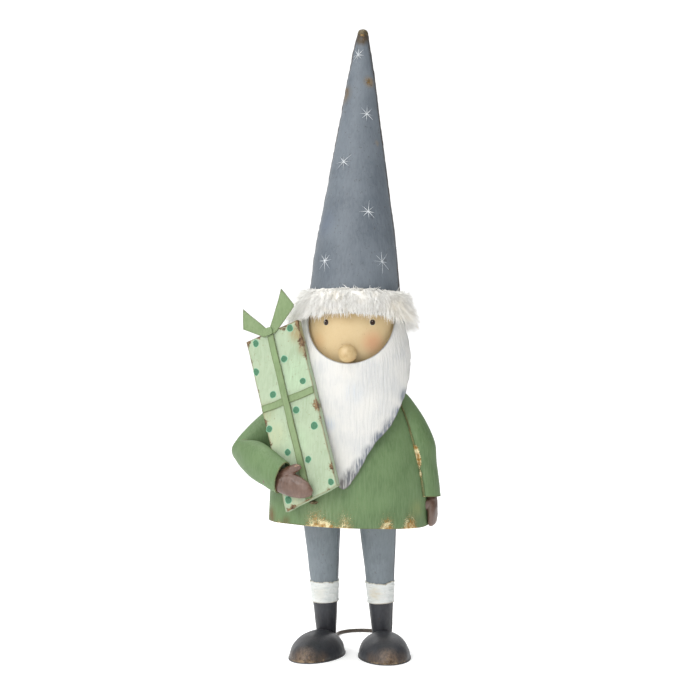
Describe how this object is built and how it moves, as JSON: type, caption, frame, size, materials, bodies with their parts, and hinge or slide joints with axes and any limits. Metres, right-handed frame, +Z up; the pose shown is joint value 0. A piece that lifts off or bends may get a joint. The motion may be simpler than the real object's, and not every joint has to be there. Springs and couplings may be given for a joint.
{
  "type": "tomte gnome figurine",
  "caption": "Free-standing painted sheet-metal gnome with a tall cone hat, faux-fur trim, white beard, bell coat and a dotted gift box under one arm.",
  "frame": {"origin": "on the floor, under the middle of the figure's bounding box", "axes": "+Z up along the figure, the figure faces -Y, its own left hand is at +X"},
  "size_m": [0.1664, 0.1628, 0.5043],
  "materials": {
    "hat_paint": "matt blue-grey paint, rubbed to bare metal at the edges",
    "braze": "rough brown brazing",
    "fur": "long-pile white faux fur",
    "face_paint": "matt flesh paint",
    "hair_paint": "white brushed paint",
    "coat_paint": "green paint, rubbed through to brass colour at the hem",
    "mitten_paint": "brown paint",
    "gift_paint": "mint paint with dots, rust at the edges",
    "ribbon_paint": "sage green paint",
    "leg_paint": "matt blue-grey paint",
    "sock_paint": "thick white paint",
    "boot_paint": "black paint, rubbed to bronze at the toes",
    "stand_wire": "dark lacquered wire"
  },
  "bodies": {
    "root": {"hat_cone": "hat_paint", "hat_tip_bead": "braze", "gift_braze": "braze", "fur_trim": "fur", "face_shell": "face_paint", "nose": "face_paint", "head_back_shell": "hair_paint", "beard": "hair_paint", "coat": "coat_paint", "shoulder_plate": "coat_paint", "hip_plate": "coat_paint", "left_sleeve": "coat_paint", "right_sleeve": "coat_paint", "left_mitten": "mitten_paint", "right_mitten": "mitten_paint", "gift_box_front": "gift_paint", "gift_box_back": "gift_paint", "gift_ribbon_long": "ribbon_paint", "gift_ribbon_cross": "ribbon_paint", "gift_bow_tail_left": "ribbon_paint", "gift_bow_tail_right": "ribbon_paint", "gift_bow_knot": "ribbon_paint", "left_leg": "leg_paint", "right_leg": "leg_paint", "left_sock_band": "sock_paint", "right_sock_band": "sock_paint", "left_boot_shaft": "boot_paint", "right_boot_shaft": "boot_paint", "left_shoe": "boot_paint", "right_shoe": "boot_paint", "left_sole": "boot_paint", "right_sole": "boot_paint", "stand_loop": "stand_wire"}
  },
  "joints": []
}
